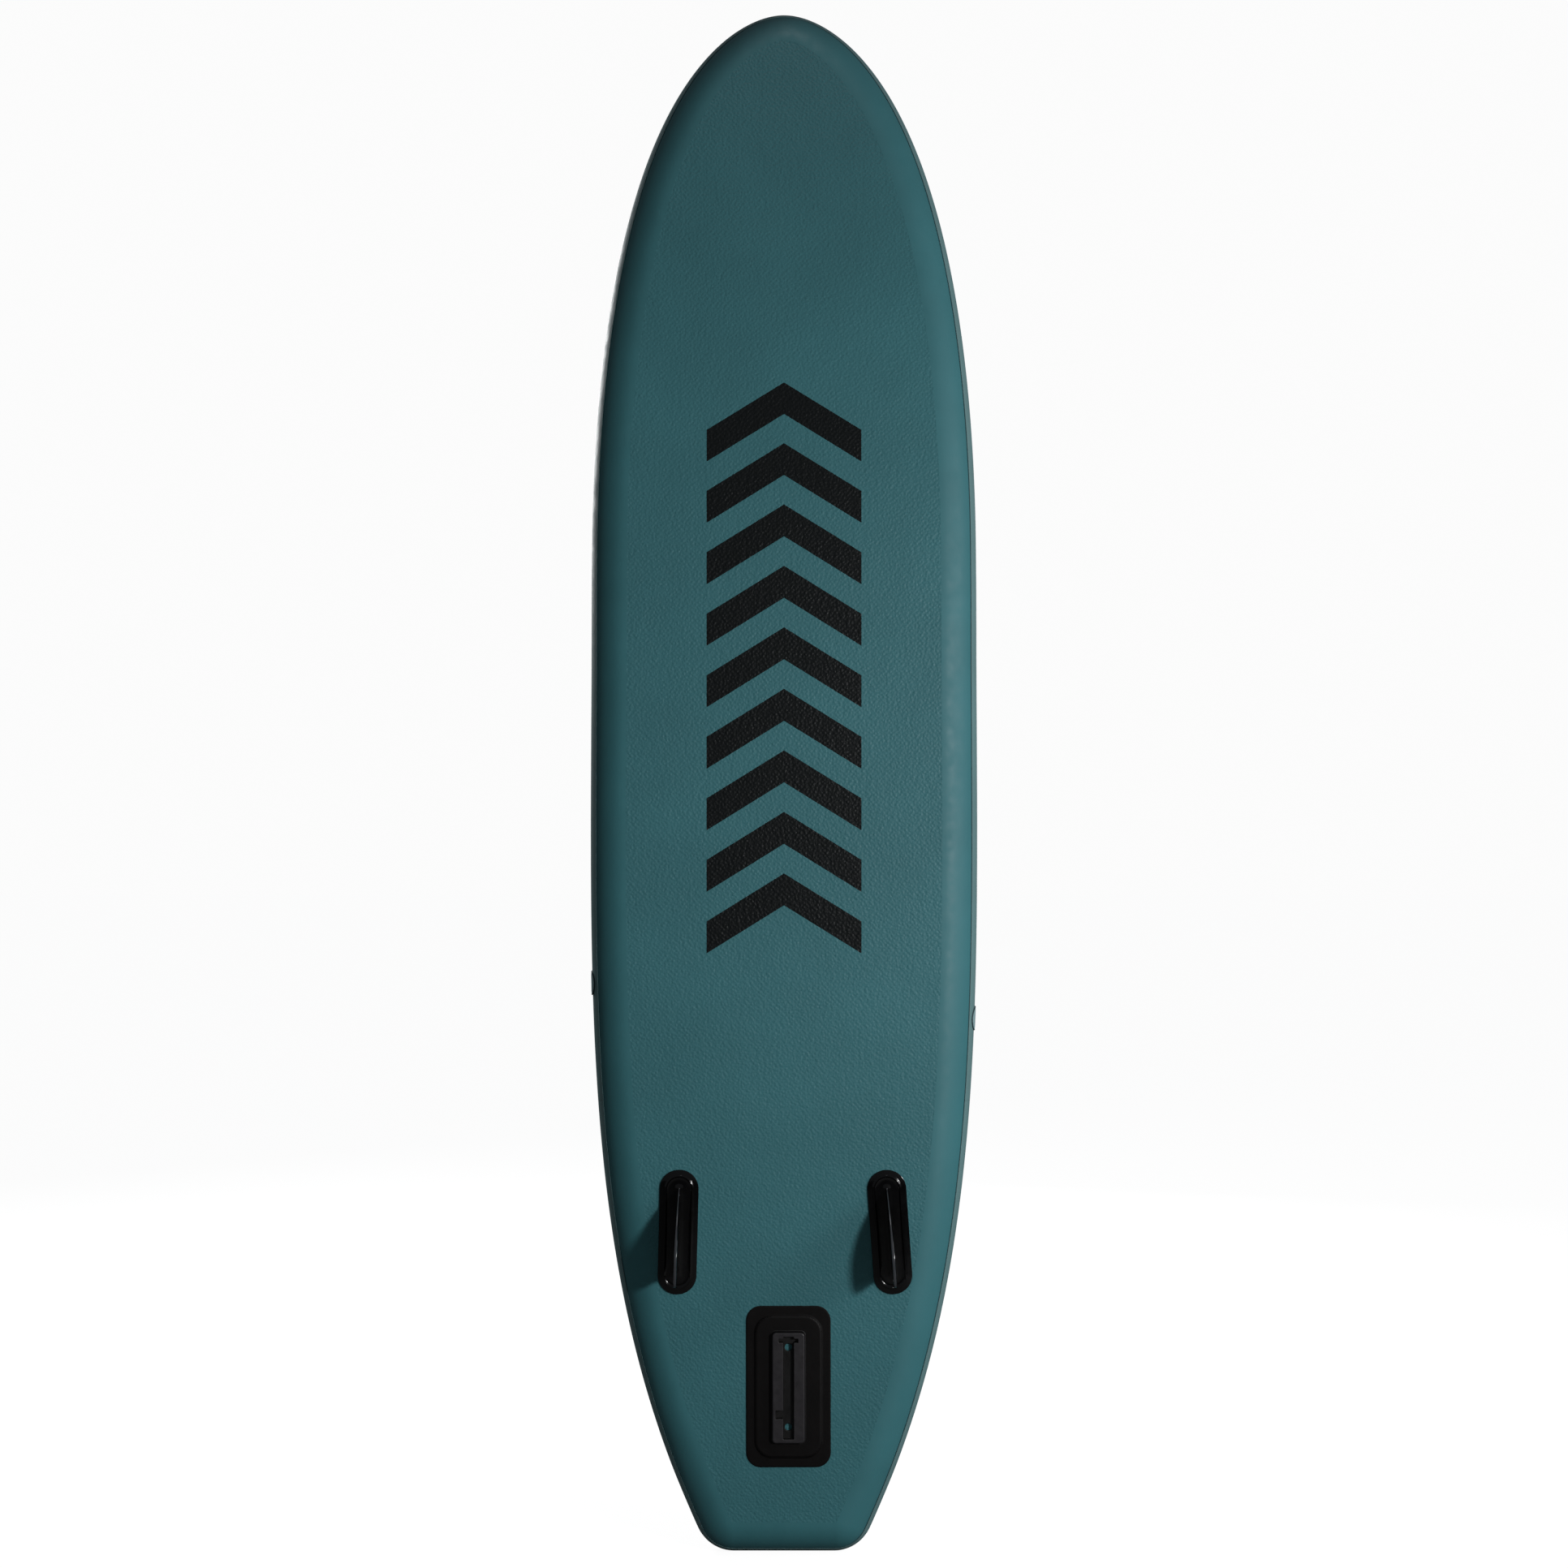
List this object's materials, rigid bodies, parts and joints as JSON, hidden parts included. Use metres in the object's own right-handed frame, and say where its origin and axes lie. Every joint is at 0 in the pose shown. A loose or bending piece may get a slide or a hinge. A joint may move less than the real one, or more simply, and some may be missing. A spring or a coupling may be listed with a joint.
{
  "type": "inflatable stand up paddleboard",
  "caption": "Inflatable stand up paddleboard with squash tail, two glued side fins, a slide-in centre fin box, deck pad, bungee, carry handle, D-rings and inflation valve.",
  "frame": {"origin": "Middle of the tail end, half way through the thickness of the board", "axes": "+Z tail to nose, +Y hull bottom (fins) to deck, +X across the board; the board stands on its tail"},
  "size_m": [0.7948, 0.3953, 3.2],
  "materials": {
    "hull_pvc": "satin",
    "deck_pvc": "satin",
    "rail_pvc": "satin",
    "base_cloth": "matte",
    "patch_pvc": "matte",
    "moulded_plastic": "satin",
    "fin_plastic": "gloss",
    "pad_foam": "matte",
    "webbing": "matte",
    "neoprene": "matte",
    "steel": "polished",
    "shock_cord": "matte",
    "rubber": "matte",
    "valve_plastic": "satin"
  },
  "bodies": {
    "board": {"hull_skin": "hull_pvc", "deck_skin": "deck_pvc", "drop_stitch_core": "base_cloth", "rail_wall": "rail_pvc", "rail_band": "rail_pvc", "side_fin_left": "fin_plastic", "side_fin_right": "fin_plastic", "fin_patch": "patch_pvc", "fin_box": "moulded_plastic", "deck_pad_rear": "pad_foam", "deck_pad_front": "pad_foam", "kick_pad": "pad_foam", "bungee_front_left_base": "deck_pvc", "bungee_front_left_loop": "webbing", "bungee_front_left_ring": "steel", "bungee_rear_right_base": "deck_pvc", "bungee_rear_right_loop": "webbing", "bungee_rear_right_ring": "steel", "bungee_front_right_base": "deck_pvc", "bungee_front_right_loop": "webbing", "bungee_front_right_ring": "steel", "bungee_rear_left_base": "deck_pvc", "bungee_rear_left_loop": "webbing", "bungee_rear_left_ring": "steel", "bungee_cord": "shock_cord", "tow_base": "deck_pvc", "tow_loop": "webbing", "leash_base": "deck_pvc", "leash_loop": "webbing", "rail_left_base": "rail_pvc", "rail_left_loop": "webbing", "rail_right_base": "rail_pvc", "rail_right_loop": "webbing", "handle_strap": "webbing", "handle_tab_rear": "deck_pvc", "handle_tab_front": "deck_pvc", "valve_body": "valve_plastic", "valve_gasket": "rubber", "valve_nut": "valve_plastic", "valve_spring": "steel"},
    "tow_ring_body": {"tow_ring": "steel"},
    "leash_ring_body": {"leash_ring": "steel"},
    "rail_left_ring_body": {"rail_left_ring": "steel"},
    "rail_right_ring_body": {"rail_right_ring": "steel"},
    "handle": {"handle_grip": "neoprene"},
    "valve_plug": {"valve_seal": "rubber"},
    "valve_pin": {"valve_stem": "valve_plastic"},
    "cap_carrier": {"valve_tether": "rubber"},
    "cap": {"valve_cap": "valve_plastic", "valve_cap_seal": "rubber"}
  },
  "joints": [
    {"name": "tow_ring_swing", "type": "hinge", "parent": "board", "child": "tow_ring_body", "pos_m": [0, 0.17114, 2.95883], "axis": [-1, 0, 0], "range_deg": [0, 170]},
    {"name": "leash_ring_swing", "type": "hinge", "parent": "board", "child": "leash_ring_body", "pos_m": [0, 0.08165, 0.13], "axis": [1, 0, 0], "range_deg": [0, 170]},
    {"name": "rail_left_ring_swing", "type": "hinge", "parent": "board", "child": "rail_left_ring_body", "pos_m": [-0.39095, 0.0419, 1.1666], "axis": [-0.0192, 0, 0.9998], "range_deg": [0, 170]},
    {"name": "rail_right_ring_swing", "type": "hinge", "parent": "board", "child": "rail_right_ring_body", "pos_m": [0.38814, 0.0419, 1.09405], "axis": [-0.0406, 0, -0.9992], "range_deg": [0, 170]},
    {"name": "handle_swing", "type": "hinge", "parent": "board", "child": "handle", "pos_m": [0, 0.079, 1.6], "axis": [0, 0, 1], "range_deg": [-50, 50], "deforming": ["handle_strap"]},
    {"name": "valve_push", "type": "slide", "parent": "board", "child": "valve_plug", "axis": [0, -1, 0], "range_m": [0, 0.008], "stiffness_N_per_m": 300, "springref_m": -0.004, "deforming": ["valve_spring"]},
    {"name": "valve_pin_turn", "type": "hinge", "parent": "valve_plug", "child": "valve_pin", "pos_m": [0.112, 0.037, 0.225], "axis": [0, 1, 0], "range_deg": [0, 90]},
    {"name": "cap_lift", "type": "slide", "parent": "board", "child": "cap_carrier", "axis": [0, 1, 0], "range_m": [0, 0.03], "deforming": ["valve_tether"]},
    {"name": "cap_turn", "type": "hinge", "parent": "cap_carrier", "child": "cap", "pos_m": [0.112, 0.085, 0.225], "axis": [0, 1, 0], "continuous": true}
  ]
}
